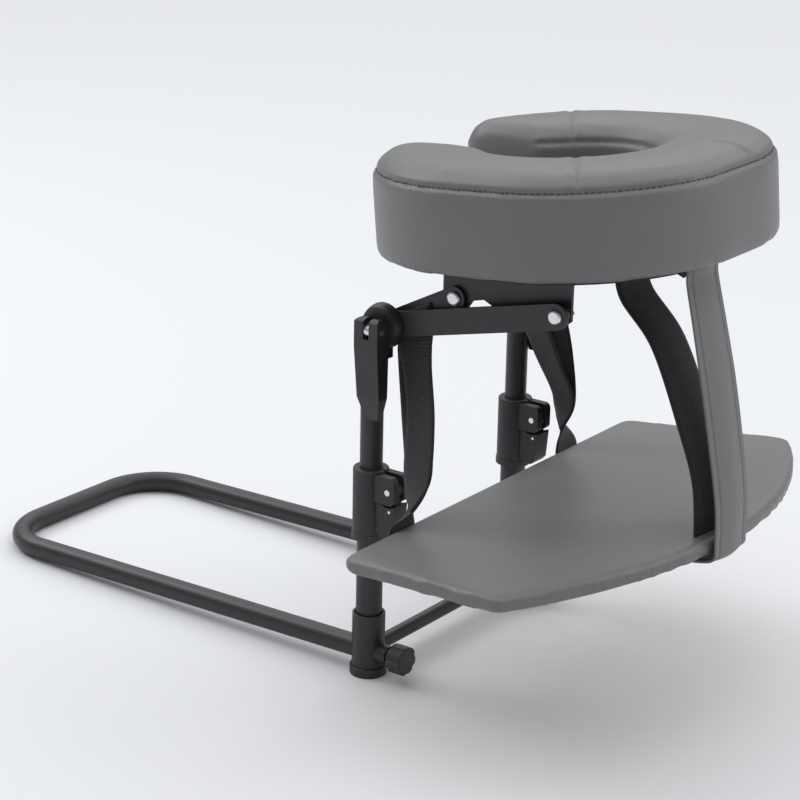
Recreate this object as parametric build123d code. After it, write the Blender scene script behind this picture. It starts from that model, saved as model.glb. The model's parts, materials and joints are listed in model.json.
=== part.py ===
from build123d import *
import math
import os

# A face cradle that slides under a mattress: a bent-tube base, two telescopic posts,
# cam-locked arms that carry a horseshoe face cushion, and an arm shelf hung on straps.
# Millimetres, +Z up. +X points away from the bed, where the cushion and shelf reach out.
# Left is -Y and right is +Y. Parts are drawn about the line of the two posts (x = 0)
# and everything is moved by POST_X as it is written, so that the origin ends up under
# the middle of the whole object.
POST_X = 81.15  # from the middle of the object to the line of the posts

# ---- driving dimensions -------------------------------------------------------------
HALF = 105.5  # from the centre plane to a post axis
BASE_LENGTH = 442.3  # from the posts back to the axis of the far bar
BASE_TUBE = 19.0  # outside diameter of the base rail
BASE_WALL = 4.0  # a stand-in: heavy enough to stand by itself under the solid cushion
BASE_CORNER = 55.0  # bend radius at the two far corners
RAIL_Z = 21.0  # rail axis height where it meets the sockets
CROSS_TUBE = 12.7
CROSS_WALL = 1.5

SOCKET_OD = 28.0
SOCKET_ID = 24.0
SOCKET_TOP = 56.0
CAP_FLOOR = 3.0  # plastic under the socket and the post
CAP_OD = 31.5
CAP_TOP = 8.0

SCREW_D = 8.0
FIT = 0.06  # radial running clearance of every pin and shaft
GAP = 0.3  # clearance between parts that move past one another
NUT_D = 17.0
NUT_END = 23.0
KNOB_START = 27.0
KNOB_END = 41.0
KNOB_D = 25.0
KNOB_LOBES = 7

LOWER_OD = 22.2
LOWER_ID = 19.2
LOWER_TOP = 166.0
UPPER_OD = 19.05
UPPER_ID = 16.0
UPPER_BOTTOM = 45.0
UPPER_TOP = 284.0

COLLAR_OD = 30.0
COLLAR_BOTTOM = 124.0
COLLAR_TOP = 186.0
COLLAR_LIP = 0.6
EAR_REACH = 31.0  # front face of the two ears, from the post axis
EAR_BOTTOM = 160.0
EAR_TOP = 184.0
EAR_WIDTH = 20.0
EAR_SLOT = 7.0
LOCK_PIN_X = 24.0
LOCK_PIN_Z = 171.0
LOCK_PIN_D = 5.0
LOCK_LEVER_BOTTOM = 130.0
LOCK_LEVER_INNER = 10.5
LOCK_LEVER_HALF = 9.2
RIGHT_RISE = 5.0  # the right lower post stands this much higher in its socket

# the clamp at the head of each post; sideways places are distances from the centre plane
CAM_X = 11.5  # the clamp stands a little in front of the post
CAM_Z = 310.2  # axis of the cam bolt
DOME_R = 19.0
DOME_INNER = 105.3
DOME_OUTER = 114.3
NECK_TOP = 288.0
CAM_PIN_Y = 124.8
CAM_PIN_D = 5.0
CAM_LEVER_WIDTH = 23.4
CAM_LEVER_FACE = 131.0
CAM_LEVER_BACK = 114.6
CAM_LEVER_TIP_Z = 233.5
CAM_LEVER_SHOULDER_Z = 253.0
CAM_SLOT = 5.8
CAM_BOLT_D = 8.0

ARM_OUTER = 105.0
ARM_THICK = 3.5
ARM_WIDTH = 21.0
STRUT_OUTER = 98.3
STRUT_THICK = 3.0
STRUT_WIDTH = 19.0
BRACKET_OUTER = 94.9
BRACKET_THICK = 3.0
FRONT_X = 172.8  # front pivot of the arms, where the bracket hangs on them
FRONT_Z = 348.8
REAR_X = 73.7  # rear pivot, bracket to slotted strut
REAR_Z = 343.0
FLANGE_WIDTH = 24.0
SCREW_PLACES = (-42.0, 34.0)  # along the flange, from SEAT_X
PIVOT_BOLT_D = 6.0
BOLT_HEAD_D = 12.0
BOLT_HEAD_H = 2.6

TILT = 5.7  # lie of the platform and cushion, front end up
SEAT_X = 125.0  # where SEAT_Z is measured
SEAT_Z = 369.5  # underside of the platform there
PLATFORM_X = 134.0
PLATFORM_R = 113.0
PLATFORM_HOLE_R = 55.0
PLATFORM_THICK = 6.0
PLATFORM_REAR_X = 36.0
PAD_THICK = 3.5  # hook-and-loop pads between platform and cushion

CUSHION_X = 125.0
CUSHION_LENGTH = 306.0
CUSHION_WIDTH = 302.0
CUSHION_CORNER = 130.0
CUSHION_HEIGHT = 80.0
CUSHION_TOP_ROUND = 22.0
FACE_HOLE_LENGTH = 128.0
FACE_HOLE_WIDTH = 118.0
MOUTH_WIDTH = 72.0
LOBE_ROUND = 28.0

SHELF_REAR_X = 50.0
SHELF_REAR_Z = 153.0  # top face at the rear edge
SHELF_TILT = 4.9
SHELF_HALF_REAR = 212.0
SHELF_CORNER_X = 209.0
SHELF_HALF_FRONT = 228.6
SHELF_FRONT_X = 286.0
SHELF_THICK = 13.0
BOARD_THICK = 6.0
SHELF_WRAP = 3.5
SHELF_HEM = 18.0
HEM_THICK = 1.0

STRAP_WIDTH = 36.0
STRAP_THICK = 1.6
STRAP_TOP_X = 37.5
STRAP_FOOT_X = 46.0
STRAP_FOOT_Z = 143.5
STRAP_FOOT_LEFT = -131.0
STRAP_FOOT_RIGHT = 92.0
FRONT_STRAP_Y = -12.0
FRONT_STRAP_WIDTH = 48.0
FRONT_STRAP_THICK = 1.8


# ---- small helpers ------------------------------------------------------------------
def tube(outer, inner, bottom, top):
    """A round tube standing on the post axis."""
    ring = Circle(outer / 2) - Circle(inner / 2)
    return Pos(0, 0, bottom) * extrude(ring, top - bottom)


def rod_x(diameter, start, end, y=0.0, z=0.0):
    rod = Cylinder(diameter / 2, end - start, rotation=(0, 90, 0))
    return Pos((start + end) / 2, y, z) * rod


def rod_y(diameter, start, end, x=0.0, z=0.0):
    rod = Cylinder(diameter / 2, abs(end - start), rotation=(90, 0, 0))
    return Pos(x, (start + end) / 2, z) * rod


def box(x0, x1, y0, y1, z0, z1):
    block = Box(abs(x1 - x0), abs(y1 - y0), abs(z1 - z0))
    return Pos((x0 + x1) / 2, (y0 + y1) / 2, (z0 + z1) / 2) * block


def side_plate(outline, outer, thick):
    """A flat plate of the left side: an outline in X and Z, between outer and inner Y."""
    face = Plane(origin=(0, -outer, 0), x_dir=(1, 0, 0), z_dir=(0, -1, 0)) * outline
    return extrude(face, -thick)


def right_of(left):
    return mirror(left, about=Plane.XZ)


def group(*solids):
    return Compound(list(solids))


def seat_plane(height):
    """The plane of the platform's underside, raised by height along its own normal."""
    lean = math.radians(TILT)
    base = Plane(
        origin=(SEAT_X, 0, SEAT_Z),
        x_dir=(math.cos(lean), 0, math.sin(lean)),
        z_dir=(-math.sin(lean), 0, math.cos(lean)),
    )
    return base.offset(height)


def shelf_plane(height):
    """The plane of the shelf's top at its rear edge, raised by height."""
    lean = math.radians(SHELF_TILT)
    base = Plane(
        origin=(SHELF_REAR_X, 0, SHELF_REAR_Z),
        x_dir=(math.cos(lean), 0, math.sin(lean)),
        z_dir=(-math.sin(lean), 0, math.cos(lean)),
    )
    return base.offset(height)


def bar_outline(x0, z0, x1, z1, width, back=0.0):
    """A straight bar with round ends, from one hole to another, drawn in X and Z."""
    length = math.hypot(x1 - x0, z1 - z0)
    angle = math.degrees(math.atan2(z1 - z0, x1 - x0))
    middle = (length - back) / 2
    shape = Pos(middle, 0) * Rectangle(length + back, width)
    shape += Pos(-back, 0) * Circle(width / 2)
    shape += Pos(length, 0) * Circle(width / 2)
    return Pos(x0, z0) * Rot(0, 0, angle) * shape


# ---- base frame ---------------------------------------------------------------------
def base_rail():
    """One tube bent into a U: it slopes from the sockets down to a bar on the floor."""
    bar_z = BASE_TUBE / 2
    path = FilletPolyline(
        (0, -HALF, RAIL_Z),
        (-BASE_LENGTH, -HALF, bar_z),
        (-BASE_LENGTH, HALF, bar_z),
        (0, HALF, RAIL_Z),
        radius=BASE_CORNER,
    )
    ring = Circle(BASE_TUBE / 2) - Circle(BASE_TUBE / 2 - BASE_WALL)
    rail = sweep(Plane(origin=path @ 0, z_dir=path % 0) * ring, path=path)
    for side in (-1, 1):
        rail -= Pos(0, side * HALF, 0) * Cylinder(SOCKET_OD / 2, 120)
    return rail


def cross_bar():
    bar = rod_y(CROSS_TUBE, -HALF, HALF, 0, RAIL_Z)
    bar -= rod_y(CROSS_TUBE - 2 * CROSS_WALL, -HALF, HALF, 0, RAIL_Z)
    for side in (-1, 1):
        bar -= Pos(0, side * HALF, 0) * Cylinder(SOCKET_OD / 2, 120)
    return bar


def socket():
    body = tube(SOCKET_OD, SOCKET_ID, CAP_FLOOR, SOCKET_TOP)
    body = fillet(body.edges().group_by(Axis.Z)[-1], 0.6)
    return body - rod_x(SCREW_D + 2 * FIT, 5, 20, 0, RAIL_Z)


def foot_cap():
    cap = Pos(0, 0, CAP_TOP / 2) * Cylinder(CAP_OD / 2, CAP_TOP)
    cap = fillet(cap.edges().group_by(Axis.Z)[0], 1.0)
    cap = fillet(cap.edges().group_by(Axis.Z)[-1], 0.8)
    return cap - tube(SOCKET_OD, 0.001, CAP_FLOOR, CAP_TOP + 1)


def socket_nut():
    """The round threaded boss welded to the front of a socket for the clamp screw."""
    nut = rod_x(NUT_D, 5, NUT_END, 0, RAIL_Z)
    nut = fillet(nut.edges().group_by(Axis.X)[-1], 1.0)
    nut -= Cylinder(SOCKET_OD / 2, 120)
    return nut - rod_x(SCREW_D + 2 * FIT, 0, 30, 0, RAIL_Z)


def clamp_screw():
    return rod_x(SCREW_D, LOWER_OD / 2 + GAP, KNOB_END - 5, 0, RAIL_Z)


def clamp_knob():
    """A lobed plastic knob with a smooth face and a short hub towards the nut."""
    outline = Circle(KNOB_D / 2)
    for i in range(KNOB_LOBES):
        turn = 360 * i / KNOB_LOBES
        outline -= Rot(0, 0, turn) * Pos(KNOB_D / 2 + 2.0, 0) * Circle(3.2)
    knob = extrude(outline, KNOB_END - KNOB_START)
    knob = fillet(knob.edges().group_by(Axis.Z)[-1], 1.2)
    hub_length = KNOB_START - NUT_END - GAP
    knob += Pos(0, 0, -hub_length / 2) * Cylinder(7, hub_length)
    knob -= Pos(0, 0, 2) * Cylinder(SCREW_D / 2, 14)
    knob = Pos(KNOB_START, 0, RAIL_Z) * Rot(0, 90, 0) * knob
    return knob


# ---- telescopic posts ---------------------------------------------------------------
def lower_post():
    return tube(LOWER_OD, LOWER_ID, CAP_FLOOR, LOWER_TOP)


def lock_collar():
    """The plastic clamp on top of the lower post, with two ears for the flip lever."""
    bore = UPPER_OD + 0.16
    body = tube(COLLAR_OD, 0.001, COLLAR_BOTTOM, COLLAR_TOP)
    body = fillet(body.edges().group_by(Axis.Z)[-1], 1.5)
    lip = tube(COLLAR_OD + 2 * COLLAR_LIP, 0.001, COLLAR_BOTTOM, COLLAR_BOTTOM + 6)
    body += fillet(lip.edges(), 0.5)
    ears = box(4, EAR_REACH, -EAR_WIDTH / 2, EAR_WIDTH / 2, EAR_BOTTOM, EAR_TOP)
    front = ears.faces().sort_by(Axis.X)[-1].edges().filter_by(Axis.Y)
    ears = fillet(front, 5.0)
    body += ears
    half_slot = EAR_SLOT / 2
    body -= box(15.5, 40, -half_slot, half_slot, EAR_BOTTOM - 1, EAR_TOP + 1)
    body -= box(5, 16, -1, 1, EAR_BOTTOM - 8, COLLAR_TOP + 1)
    body -= tube(LOWER_OD, 0.001, COLLAR_BOTTOM - 1, LOWER_TOP)
    body -= tube(bore, 0.001, LOWER_TOP - 1, COLLAR_TOP + 1)
    body -= rod_y(LOCK_PIN_D, -20, 20, LOCK_PIN_X, LOCK_PIN_Z)
    return body


def lock_pin():
    return rod_y(LOCK_PIN_D, -EAR_WIDTH / 2, EAR_WIDTH / 2, LOCK_PIN_X, LOCK_PIN_Z)


def lock_lever():
    """The flip lever: a tongue on the pin between the ears and a handle below them."""
    tongue_half = EAR_SLOT / 2 - GAP
    top = EAR_BOTTOM - 0.8
    with BuildSketch(Plane.XZ) as outline:
        with BuildLine():
            Polyline(
                (LOCK_LEVER_INNER, top),
                (30.8, top),
                (28.6, LOCK_LEVER_BOTTOM + 4),
                (25.0, LOCK_LEVER_BOTTOM),
                (17.0, LOCK_LEVER_BOTTOM),
                (LOCK_LEVER_INNER, LOCK_LEVER_BOTTOM + 6),
                close=True,
            )
        make_face()
    handle = extrude(outline.sketch, LOCK_LEVER_HALF, both=True)
    handle = fillet(handle.edges().filter_by(Axis.Y), 1.0)
    handle -= tube(COLLAR_OD + 2 * COLLAR_LIP + 2 * GAP, 0.001, 100, 200)
    swing = math.hypot(EAR_REACH - LOCK_PIN_X, LOCK_PIN_Z - EAR_BOTTOM) + GAP
    handle -= rod_y(2 * swing, -20, 20, LOCK_PIN_X, LOCK_PIN_Z)
    tongue = rod_y(13.0, -tongue_half, tongue_half, LOCK_PIN_X, LOCK_PIN_Z)
    tongue += box(19.0, 29.0, -tongue_half, tongue_half, top - 5, LOCK_PIN_Z)
    lever = handle + tongue - lever_rivet()
    return lever - rod_y(LOCK_PIN_D + 2 * FIT, -20, 20, LOCK_PIN_X, LOCK_PIN_Z)


def lever_rivet():
    """The small bright rivet through the top of the flip lever."""
    end = LOCK_LEVER_HALF + 0.4
    return rod_y(2.4, -end, end, LOCK_PIN_X + 2, EAR_BOTTOM - 5.5)


def upper_post():
    return tube(UPPER_OD, UPPER_ID, UPPER_BOTTOM, UPPER_TOP)


def post_head():
    """The cast head on the left post: a neck on the tube and a dome beside the arms."""
    dome = Pos(CAM_X, -DOME_INNER, CAM_Z) * Sphere(DOME_R)
    dome &= box(-30, 60, -DOME_OUTER, -DOME_INNER, 250, 350)
    neck = Pos(0, -HALF, 0) * tube(UPPER_OD, 0.001, UPPER_TOP, NECK_TOP)
    web = box(-9.0, 20.0, -DOME_OUTER, -DOME_INNER, UPPER_TOP + 1, CAM_Z - 8)
    web &= Pos(5, -HALF, 290) * Cylinder(16.5, 60)
    spigot = Pos(0, -HALF, 0) * tube(UPPER_ID, 0.001, UPPER_TOP - 22, UPPER_TOP)
    head = dome + neck + web + spigot
    return head - rod_y(CAM_BOLT_D, -140, -60, CAM_X, CAM_Z)


def cam_bolt():
    """The eye bolt that the cam lever pulls: it is also the hinge of the arms."""
    inner_end = STRUT_OUTER - STRUT_THICK - 8.0
    shank = rod_y(CAM_BOLT_D, -DOME_OUTER, -inner_end, CAM_X, CAM_Z)
    half = CAM_SLOT / 2 - GAP
    flat = box(CAM_X - half, CAM_X + half, -CAM_PIN_Y, -DOME_OUTER, CAM_Z - 4, CAM_Z + 4)
    eye = rod_x(11.0, CAM_X - half, CAM_X + half, -CAM_PIN_Y, CAM_Z)
    bolt = shank + flat + eye
    return bolt - rod_x(CAM_PIN_D + 2 * FIT, -20, 60, -CAM_PIN_Y, CAM_Z)


def cam_nut():
    """Washer and lock nut on the inner end of the cam bolt."""
    face = STRUT_OUTER - STRUT_THICK - GAP
    washer = rod_y(14.0, -face, -face + 1.2, CAM_X, CAM_Z)
    turn = Plane(origin=(CAM_X, -face + 1.2, CAM_Z), x_dir=(1, 0, 0), z_dir=(0, 1, 0))
    nut = extrude(turn * RegularPolygon(6.5, 6, major_radius=False), 4.6)
    return washer + nut - rod_y(CAM_BOLT_D, -140, -20, CAM_X, CAM_Z)


def cam_lever():
    """The cam lever: thick and forked at its pin, thinning to a tip beside the post."""
    half = CAM_LEVER_WIDTH / 2
    crest = CAM_PIN_Y - CAM_LEVER_BACK
    with BuildSketch(Plane.XZ.offset(CAM_LEVER_BACK - 5)) as front:
        with BuildLine():
            Polyline(
                (CAM_X - half, CAM_Z + crest),
                (CAM_X + half, CAM_Z + crest),
                (CAM_X + half, CAM_Z - 12),
                (CAM_X + half - 0.6, CAM_LEVER_SHOULDER_Z),
                (CAM_X + 6.0, CAM_LEVER_TIP_Z),
                (CAM_X - 6.0, CAM_LEVER_TIP_Z),
                (CAM_X - half + 0.6, CAM_LEVER_SHOULDER_Z),
                (CAM_X - half, CAM_Z - 12),
                close=True,
            )
        make_face()
        fillet(front.vertices().group_by(Axis.Y)[-1], 3.5)
    slab = extrude(front.sketch, 30)
    # side outline in Y and Z: deep at the pin, thin at the tip
    with BuildSketch() as side:
        with BuildLine():
            Polyline(
                (-CAM_LEVER_FACE, CAM_Z),
                (-CAM_LEVER_BACK, CAM_Z),
                (-CAM_LEVER_BACK, 298.0),
                (-CAM_LEVER_BACK - 1.0, 292.0),
                (-CAM_LEVER_BACK - 1.0, CAM_LEVER_TIP_Z - 1),
                (-CAM_LEVER_BACK - 6.5, CAM_LEVER_TIP_Z - 1),
                (-CAM_LEVER_BACK - 12.5, CAM_LEVER_SHOULDER_Z),
                (-CAM_LEVER_FACE, CAM_Z - 14),
                close=True,
            )
        make_face()
        with Locations((-CAM_PIN_Y, CAM_Z)):
            Circle(crest)
        with Locations((-CAM_LEVER_FACE - 20, CAM_Z)):
            Rectangle(40, 60, mode=Mode.SUBTRACT)
    across = Plane(origin=(CAM_X - 20, 0, 0), x_dir=(0, 1, 0), z_dir=(1, 0, 0))
    lever = slab & extrude(across * side.sketch, 40)
    lever = fillet(lever.edges().filter_by(Axis.X).group_by(Axis.Y)[0], 0.5)
    slot = CAM_SLOT / 2
    lever -= box(CAM_X - slot, CAM_X + slot, -140, -100, CAM_Z - 6.2, CAM_Z + 20)
    return lever - rod_x(CAM_PIN_D, -30, 60, -CAM_PIN_Y, CAM_Z)


def cam_pin():
    end = CAM_LEVER_WIDTH / 2 + 0.3
    return rod_x(CAM_PIN_D, CAM_X - end, CAM_X + end, -CAM_PIN_Y, CAM_Z)


# ---- arms, struts and brackets ------------------------------------------------------
def front_arm():
    outline = bar_outline(CAM_X, CAM_Z, FRONT_X, FRONT_Z, ARM_WIDTH)
    outline -= Pos(CAM_X, CAM_Z) * Circle(CAM_BOLT_D / 2 + FIT)
    outline -= Pos(FRONT_X, FRONT_Z) * Circle(PIVOT_BOLT_D / 2)
    return side_plate(outline, ARM_OUTER, ARM_THICK)


def rear_strut():
    """Slotted at its lower end, so that it slides over the cam bolt as the seat tilts."""
    slot_back = 7.0
    slot_front = 11.0
    slot_width = CAM_BOLT_D + 2.0
    angle = math.degrees(math.atan2(REAR_Z - CAM_Z, REAR_X - CAM_X))
    outline = bar_outline(CAM_X, CAM_Z, REAR_X, REAR_Z, STRUT_WIDTH, back=slot_back)
    slot = Pos((slot_front - slot_back) / 2, 0) * SlotCenterToCenter(
        slot_front + slot_back, slot_width
    )
    outline -= Pos(CAM_X, CAM_Z) * Rot(0, 0, angle) * slot
    outline -= Pos(REAR_X, REAR_Z) * Circle(PIVOT_BOLT_D / 2 + FIT)
    return side_plate(outline, STRUT_OUTER, STRUT_THICK)


def side_bracket():
    """The pressed bracket under one side of the platform, with an inward flange."""
    lean = math.tan(math.radians(TILT))

    def under(x):
        return SEAT_Z + (x - SEAT_X) * lean

    rear = REAR_X - 13.2
    front = FRONT_X + 7.8
    with BuildSketch() as outline:
        with BuildLine():
            Polyline(
                (rear, under(rear)),
                (rear, 336.0),
                (rear + 6.0, 331.0),
                (REAR_X + 7.0, 331.0),
                (REAR_X + 15.0, 343.0),
                (REAR_X + 26.0, 346.0),
                (REAR_X + 34.0, 342.5),
                (FRONT_X - 26.0, 346.0),
                (FRONT_X - 11.0, 339.0),
                (FRONT_X - 2.0, 335.5),
                (front, 344.0),
                (front, under(front)),
                close=True,
            )
        make_face()
        for x, z in ((REAR_X, REAR_Z), (FRONT_X, FRONT_Z)):
            with Locations((x, z)):
                Circle(PIVOT_BOLT_D / 2 + (FIT if x == FRONT_X else 0), mode=Mode.SUBTRACT)
    plate = side_plate(outline.sketch, BRACKET_OUTER, BRACKET_THICK)
    length = (front - rear) / math.cos(math.radians(TILT))
    middle = (rear + front) / 2 - SEAT_X
    place = seat_plane(-BRACKET_THICK / 2) * Pos(
        middle / math.cos(math.radians(TILT)), -BRACKET_OUTER + FLANGE_WIDTH / 2, 0
    )
    flange = place * Box(length - 2, FLANGE_WIDTH, BRACKET_THICK)
    bracket = plate + flange
    for at in SCREW_PLACES:
        hole = seat_plane(0) * Pos(at, -BRACKET_OUTER + FLANGE_WIDTH / 2, 0)
        bracket -= hole * Cylinder(2.5, 20)
    return bracket


def bracket_screw(at):
    """A countersunk screw up through the bracket's flange into the platform."""
    place = seat_plane(0) * Pos(at, -BRACKET_OUTER + FLANGE_WIDTH / 2, 0)
    shank = place * Pos(0, 0, 0.5) * Cylinder(2.5, 7.0)
    head = place * Pos(0, 0, -BRACKET_THICK - 1.0) * Cylinder(4.6, 2.0)
    return shank + head


def pivot_bolt(x, z, outer, inner):
    """A domed bolt whose head lies on the outer face, with its shank through the stack."""
    head = rod_y(BOLT_HEAD_D, -outer - BOLT_HEAD_H, -outer, x, z)
    head = fillet(head.edges().group_by(Axis.Y)[0], BOLT_HEAD_H - 0.4)
    return head + rod_y(PIVOT_BOLT_D, -outer, -inner, x, z)


def lock_nut(x, z, face):
    turn = Plane(origin=(x, -face, z), x_dir=(1, 0, 0), z_dir=(0, 1, 0))
    nut = extrude(turn * RegularPolygon(5.0, 6, major_radius=False), 5.0)
    return nut - rod_y(PIVOT_BOLT_D, -130, -20, x, z)


def front_spacer():
    """The bush that keeps the bracket off the arm at the front pivot."""
    outer = ARM_OUTER - ARM_THICK
    inner = BRACKET_OUTER + GAP
    bush = rod_y(14.0, -outer, -inner, FRONT_X, FRONT_Z)
    return bush - rod_y(PIVOT_BOLT_D, -130, -20, FRONT_X, FRONT_Z)


# ---- platform and cushion -----------------------------------------------------------
def open_ring(disc, hole, rear_x, hole_x, mouth):
    """A disc with a hole that opens towards the bed through a mouth."""
    reach = hole_x - rear_x + 20
    gap = Pos(hole_x - SEAT_X - reach / 2, 0) * Rectangle(reach, mouth)
    return disc - Pos(hole_x - SEAT_X, 0) * hole - gap


def platform_plate():
    disc = Pos(PLATFORM_X - SEAT_X, 0) * Circle(PLATFORM_R)
    hole = Circle(PLATFORM_HOLE_R)
    rear_x = PLATFORM_X - PLATFORM_R
    outline = open_ring(disc, hole, rear_x, PLATFORM_X, MOUTH_WIDTH)
    outline -= Pos(PLATFORM_REAR_X - SEAT_X - 50, 0) * Rectangle(100, 300)
    outline = fillet(outline.vertices().group_by(Axis.X)[0], 8.0)
    plate = extrude(seat_plane(0) * outline, PLATFORM_THICK)
    for side in (-1, 1):
        for at in SCREW_PLACES:
            hole_y = side * (BRACKET_OUTER - FLANGE_WIDTH / 2)
            plate -= seat_plane(0) * Pos(at, hole_y, 0) * Cylinder(2.5, 8.0)
    return plate


def hook_pad(angle):
    """A curved pad of hook-and-loop between the platform and the cushion."""
    ring = Circle(PLATFORM_R - 8) - Circle(PLATFORM_HOLE_R + 10)
    wedge = Pos(90, 0) * Rectangle(160, 66)
    shape = ring & wedge
    place = seat_plane(PLATFORM_THICK) * Pos(PLATFORM_X - SEAT_X, 0) * Rot(0, 0, angle)
    return extrude(place * shape, PAD_THICK)


def face_cushion():
    disc = RectangleRounded(CUSHION_LENGTH, CUSHION_WIDTH, CUSHION_CORNER)
    hole = Ellipse(FACE_HOLE_LENGTH / 2, FACE_HOLE_WIDTH / 2)
    rear_x = CUSHION_X - CUSHION_LENGTH / 2
    outline = open_ring(disc, hole, rear_x, CUSHION_X, MOUTH_WIDTH)
    tips = outline.vertices().group_by(Axis.X)[0]
    inner = [v for v in outline.vertices() if -60 < v.X < 0 and abs(v.Y) < 60]
    outline = fillet(list(tips) + inner, LOBE_ROUND)
    body = extrude(seat_plane(PLATFORM_THICK + PAD_THICK) * outline, CUSHION_HEIGHT)
    up = seat_plane(0).z_dir
    along = Axis((0, 0, 0), (up.X, up.Y, up.Z))
    body = fillet(body.edges().group_by(along)[-1], CUSHION_TOP_ROUND)
    return fillet(body.edges().group_by(along)[0], 5.0)


# ---- arm shelf and straps -----------------------------------------------------------
def shelf_outline(inset):
    front = SHELF_FRONT_X - SHELF_REAR_X - inset
    corner = SHELF_CORNER_X - SHELF_REAR_X
    with BuildSketch() as sketch:
        with BuildLine():
            Line((inset, -SHELF_HALF_REAR + inset), (corner, -SHELF_HALF_FRONT + inset))
            ThreePointArc(
                (corner, -SHELF_HALF_FRONT + inset),
                (front, 0),
                (corner, SHELF_HALF_FRONT - inset),
            )
            Line((corner, SHELF_HALF_FRONT - inset), (inset, SHELF_HALF_REAR - inset))
            Line((inset, SHELF_HALF_REAR - inset), (inset, -SHELF_HALF_REAR + inset))
        make_face()
        fillet(sketch.vertices(), 14.0 - inset / 2)
    return sketch.sketch


def shelf_board():
    board = shelf_plane(-SHELF_THICK + HEM_THICK) * shelf_outline(SHELF_WRAP)
    return extrude(board, BOARD_THICK)


def shelf_pad():
    """The padded vinyl cover, wrapped round the board and hemmed under it."""
    pad = extrude(shelf_plane(-SHELF_THICK) * shelf_outline(0), SHELF_THICK)
    up = shelf_plane(0).z_dir
    along = Axis((0, 0, 0), (up.X, up.Y, up.Z))
    pad = fillet(pad.edges().group_by(along)[-1], 4.5)
    pad = fillet(pad.edges().group_by(along)[0], 3.0)
    opening = extrude(shelf_plane(-SHELF_THICK - 1) * shelf_outline(SHELF_HEM), 5)
    return pad - shelf_board() - opening


STRUT_MIDDLE = STRUT_OUTER - STRUT_THICK / 2
LEG_SPREAD = STRUT_THICK / 2 + GAP + STRAP_THICK / 2  # of a leg, beside the strut
LEG_BOTTOM = 303.0


def strap_section(side, t, foot_y, layer):
    """The cross-section of one layer of a side strap, t of the way down from the strut."""
    top_y = side * STRUT_MIDDLE
    y = top_y + (foot_y - top_y) * t ** 1.3
    x = STRAP_TOP_X + (STRAP_FOOT_X - STRAP_TOP_X) * t + 7.0 * math.sin(math.pi * t)
    z = LEG_BOTTOM + (STRAP_FOOT_Z - LEG_BOTTOM) * t
    fold = min(1.0, max(0.0, (t - 0.72) / 0.18))
    turn = math.radians(-18.0 * min(1.0, 2 * t) - 70.0 * fold)
    across = (math.cos(turn), math.sin(turn), 0)
    normal = (-across[1], across[0], 0)
    spread = 1.0 + (LEG_SPREAD - 1.0) * (1 - t) ** 2
    shift = spread if layer else -spread
    origin = (x + normal[0] * shift, y + normal[1] * shift, z)
    plane = Plane(origin=origin, x_dir=across, z_dir=(0, 0, -1))
    return plane * Rectangle(STRAP_WIDTH, STRAP_THICK)


def strap_saddle():
    """The top of the left strap's loop: a leg on each side of the strut and a bridge."""
    slope = (REAR_Z - CAM_Z) / (REAR_X - CAM_X)
    rise = STRUT_WIDTH / 2 * math.hypot(1, slope) + GAP + STRAP_THICK

    def crest(x):
        return CAM_Z + (x - CAM_X) * slope + rise

    x0 = STRAP_TOP_X - STRAP_WIDTH / 2
    x1 = STRAP_TOP_X + STRAP_WIDTH / 2
    top = [(x1, crest(x1)), (x0, crest(x0))]
    sheet = make_face(Polyline((x0, LEG_BOTTOM), (x1, LEG_BOTTOM), *top, close=True))
    low = [(x, z - STRAP_THICK) for x, z in reversed(top)]
    band = make_face(Polyline(*low, *top, close=True))
    outside = STRUT_MIDDLE + LEG_SPREAD + STRAP_THICK / 2
    inside = STRUT_MIDDLE - LEG_SPREAD + STRAP_THICK / 2
    legs = side_plate(sheet, outside, STRAP_THICK) + side_plate(sheet, inside, STRAP_THICK)
    return legs + side_plate(band, outside, outside - inside + STRAP_THICK)


def side_strap(side, foot_y):
    """Webbing hung over the strut in a loop, its two layers turning on the way down."""
    steps = (0.0, 0.25, 0.5, 0.72, 0.81, 0.9, 1.0)
    strap = strap_saddle() if side < 0 else right_of(strap_saddle())
    for layer in (0, 1):
        strap += loft([strap_section(side, t, foot_y, layer) for t in steps], ruled=True)
    return strap


def shelf_tab(foot_y):
    """The end of a side strap, folded under the shelf and stapled there."""
    place = shelf_plane(-SHELF_THICK - STRAP_THICK) * Pos(18, foot_y, 0)
    return place * Box(34, STRAP_WIDTH, 2 * STRAP_THICK)


def strip(points, thick, width, y):
    """Flat webbing along a route in X and Z: straight runs with round joints."""
    solid = None
    for (x0, z0), (x1, z1) in zip(points, points[1:]):
        length = math.hypot(x1 - x0, z1 - z0)
        angle = math.degrees(math.atan2(z1 - z0, x1 - x0))
        run = Pos((x0 + x1) / 2, y, (z0 + z1) / 2) * Rot(0, -angle, 0)
        piece = run * Box(length, width, thick)
        solid = piece if solid is None else solid + piece
    for x, z in points[1:-1]:
        solid += rod_y(thick, y - width / 2, y + width / 2, x, z)
    return solid


def on_seat(x, height):
    """The X and Z of a point above the platform's underside."""
    lean = math.radians(TILT)
    run = (x - SEAT_X) / math.cos(lean)
    return (
        SEAT_X + run * math.cos(lean) - height * math.sin(lean),
        SEAT_Z + run * math.sin(lean) + height * math.cos(lean),
    )


def on_shelf(x, height):
    lean = math.radians(SHELF_TILT)
    run = (x - SHELF_REAR_X) / math.cos(lean)
    return (
        SHELF_REAR_X + run * math.cos(lean) - height * math.sin(lean),
        SHELF_REAR_Z + run * math.sin(lean) + height * math.cos(lean),
    )


PLATFORM_FRONT = PLATFORM_X + PLATFORM_R
STRAP_SEAM_X = 222.0
OVER_BAND = PLATFORM_THICK + PAD_THICK / 2


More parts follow.
